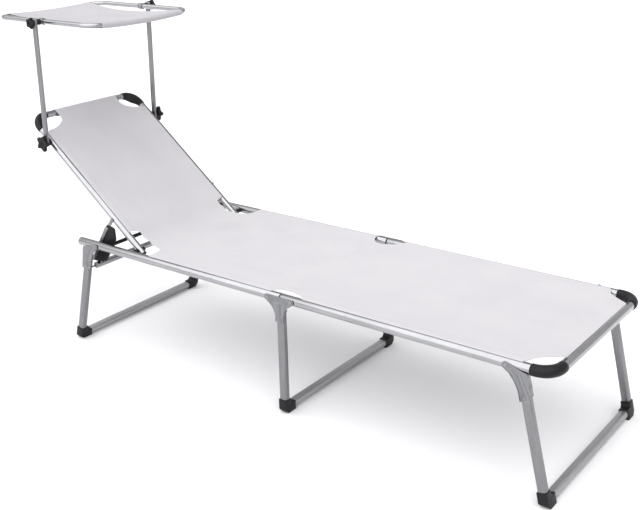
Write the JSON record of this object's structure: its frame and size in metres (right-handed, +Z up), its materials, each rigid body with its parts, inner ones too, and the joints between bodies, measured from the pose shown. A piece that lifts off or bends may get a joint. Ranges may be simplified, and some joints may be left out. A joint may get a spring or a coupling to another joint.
{
  "type": "sun lounger with canopy",
  "caption": "Folding sun lounger with tube rails, sling seat, reclining backrest on a toothed stay, and a tilting head canopy on arms with star knobs.",
  "frame": {"origin": "on the ground, below the middle of the whole lounger's box", "axes": "+X to the foot end, +Y to the left of a person who lies on it, +Z up"},
  "size_m": [1.9792, 0.5576, 1.0336],
  "materials": {
    "bright_aluminium": "bright anodised",
    "leg_aluminium": "brushed anodised",
    "bracket_steel": "grey satin",
    "black_plastic": "fine moulded grain",
    "grey_plastic": "smooth moulded",
    "sling_fabric": "open woven sling"
  },
  "bodies": {
    "head_frame": {"rail_head_left": "bright_aluminium", "rail_head_right": "bright_aluminium", "cap_head_left": "grey_plastic", "cap_head_right": "grey_plastic", "hinge_bolt_left": "black_plastic", "hinge_bolt_right": "black_plastic", "sling_seat": "sling_fabric"},
    "middle_leg": {"fold_bracket_left": "bracket_steel", "fold_bracket_right": "bracket_steel", "leg_middle_left": "leg_aluminium", "leg_middle_right": "leg_aluminium", "foot_middle_left": "black_plastic", "foot_middle_right": "black_plastic", "crossbar_middle": "leg_aluminium"},
    "foot_frame": {"rail_foot_left": "bright_aluminium", "rail_foot_right": "bright_aluminium", "corner_foot_left": "black_plastic", "corner_foot_right": "black_plastic", "bar_foot_end": "bright_aluminium", "sling_foot": "sling_fabric"},
    "foot_leg": {"bracket_foot_left": "bracket_steel", "bracket_foot_right": "bracket_steel", "leg_foot_left": "leg_aluminium", "leg_foot_right": "leg_aluminium", "foot_foot_left": "black_plastic", "foot_foot_right": "black_plastic", "crossbar_foot": "leg_aluminium"},
    "head_leg": {"bracket_head_left": "bracket_steel", "bracket_head_right": "bracket_steel", "leg_head_left": "leg_aluminium", "leg_head_right": "leg_aluminium", "foot_head_left": "black_plastic", "foot_head_right": "black_plastic", "crossbar_head": "leg_aluminium", "tie_tube": "leg_aluminium"},
    "backrest": {"rail_back_left": "bright_aluminium", "rail_back_right": "bright_aluminium", "corner_back_left": "black_plastic", "corner_back_right": "black_plastic", "plug_back_left": "black_plastic", "plug_back_right": "black_plastic", "clamp_lower_left": "black_plastic", "clamp_lower_right": "black_plastic", "bar_back_top": "bright_aluminium", "sling_back": "sling_fabric"},
    "stay": {"stay_bar_left": "leg_aluminium", "stay_bar_right": "leg_aluminium", "stay_rack_left": "black_plastic", "stay_rack_right": "black_plastic", "stay_rod": "black_plastic"},
    "canopy_arms": {"arm_left": "leg_aluminium", "arm_right": "leg_aluminium"},
    "canopy": {"clamp_upper_left": "black_plastic", "clamp_upper_right": "black_plastic", "canopy_frame": "bright_aluminium", "canopy_cloth": "sling_fabric"},
    "knob_lower_left_body": {"knob_lower_left": "black_plastic"},
    "knob_lower_right_body": {"knob_lower_right": "black_plastic"},
    "knob_upper_left_body": {"knob_upper_left": "black_plastic"},
    "knob_upper_right_body": {"knob_upper_right": "black_plastic"}
  },
  "joints": [
    {"name": "mid_leg_fold", "type": "hinge", "parent": "head_frame", "child": "middle_leg", "pos_m": [0.14475, 0, 0.348], "axis": [0, 1, 0], "range_deg": [0, 85]},
    {"name": "foot_frame_fold", "type": "hinge", "parent": "middle_leg", "child": "foot_frame", "pos_m": [0.22476, 0, 0.348], "axis": [0, 1, 0], "range_deg": [0, 85]},
    {"name": "foot_leg_fold", "type": "hinge", "parent": "foot_frame", "child": "foot_leg", "pos_m": [0.85776, 0, 0.348], "axis": [0, 1, 0], "range_deg": [0, 103]},
    {"name": "head_leg_fold", "type": "hinge", "parent": "head_frame", "child": "head_leg", "pos_m": [-0.54724, 0, 0.348], "axis": [0, -1, 0], "range_deg": [0, 105]},
    {"name": "backrest_recline", "type": "hinge", "parent": "head_frame", "child": "backrest", "pos_m": [-0.40825, 0, 0.348], "axis": [0, 1, 0], "range_deg": [-38.5, 10]},
    {"name": "stay_swing", "type": "hinge", "parent": "backrest", "child": "stay", "pos_m": [-0.51077, 0, 0.42955], "axis": [0, -1, 0], "range_deg": [-84.7, 22]},
    {"name": "canopy_arm_swing", "type": "hinge", "parent": "backrest", "child": "canopy_arms", "pos_m": [-0.77498, 0, 0.63971], "axis": [0, 1, 0], "range_deg": [-70, 85]},
    {"name": "canopy_tilt", "type": "hinge", "parent": "canopy_arms", "child": "canopy", "pos_m": [-0.76325, 0, 1.01273], "axis": [0, 1, 0], "continuous": true},
    {"name": "knob_lower_left_turn", "type": "hinge", "parent": "backrest", "child": "knob_lower_left_body", "pos_m": [-0.77498, 0, 0.63971], "axis": [0, 1, 0], "continuous": true},
    {"name": "knob_lower_right_turn", "type": "hinge", "parent": "backrest", "child": "knob_lower_right_body", "pos_m": [-0.77498, 0, 0.63971], "axis": [0, -1, 0], "continuous": true},
    {"name": "knob_upper_left_turn", "type": "hinge", "parent": "canopy", "child": "knob_upper_left_body", "pos_m": [-0.76325, 0, 1.01273], "axis": [0, 1, 0], "continuous": true},
    {"name": "knob_upper_right_turn", "type": "hinge", "parent": "canopy", "child": "knob_upper_right_body", "pos_m": [-0.76325, 0, 1.01273], "axis": [0, -1, 0], "continuous": true}
  ],
  "couplings": [
    {"joint": "stay_swing", "follows": "backrest_recline", "ratio": 2.2}
  ]
}
